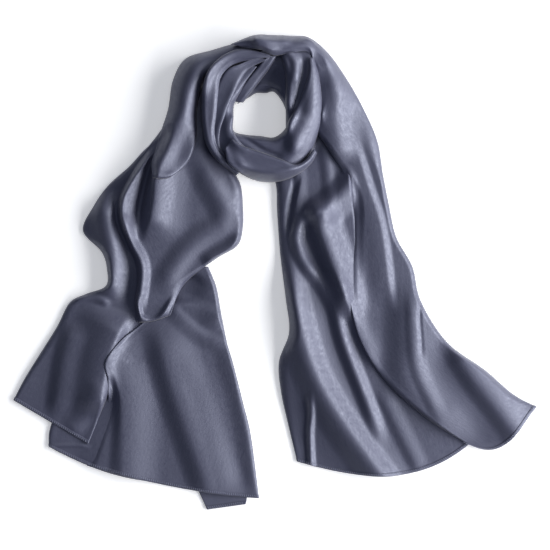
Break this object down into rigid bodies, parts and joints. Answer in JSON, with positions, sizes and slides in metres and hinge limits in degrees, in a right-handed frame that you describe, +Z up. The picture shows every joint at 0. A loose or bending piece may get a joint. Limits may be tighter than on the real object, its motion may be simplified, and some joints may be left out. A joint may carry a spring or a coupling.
{
  "type": "evening stole",
  "caption": "Satin stole laid flat, wound into a neck loop, with its hemmed ends fanned out below it in soft folds.",
  "frame": {"origin": "centre of the laid-out stole's outline, on the surface it lies on", "axes": "+Z up from the surface, +Y towards the nape of the loop, +X towards the end on the right of the picture"},
  "size_m": [0.784, 0.7111, 0.0578],
  "materials": {
    "satin": "satin",
    "hem": "stitched satin",
    "inner": "satin in shade"
  },
  "bodies": {
    "root": {"loop_core": "inner", "left_underlap": "satin", "left_underlap_hem": "hem", "left_underlay": "satin", "left_underlay_hem": "hem", "left_roll": "satin", "left_centre": "satin", "left_centre_hem": "hem", "left_flap": "satin", "left_flap_hem": "hem", "left_body": "satin", "right_inner": "satin", "right_inner_hem": "hem", "loop_back": "satin", "loop_nape": "satin", "loop_right_inner": "satin", "loop_left_inner": "satin", "loop_left_middle": "satin", "loop_front_inner": "satin", "loop_left_outer": "satin", "loop_cowl": "satin", "right_outer": "satin", "right_outer_hem": "hem"}
  },
  "joints": []
}
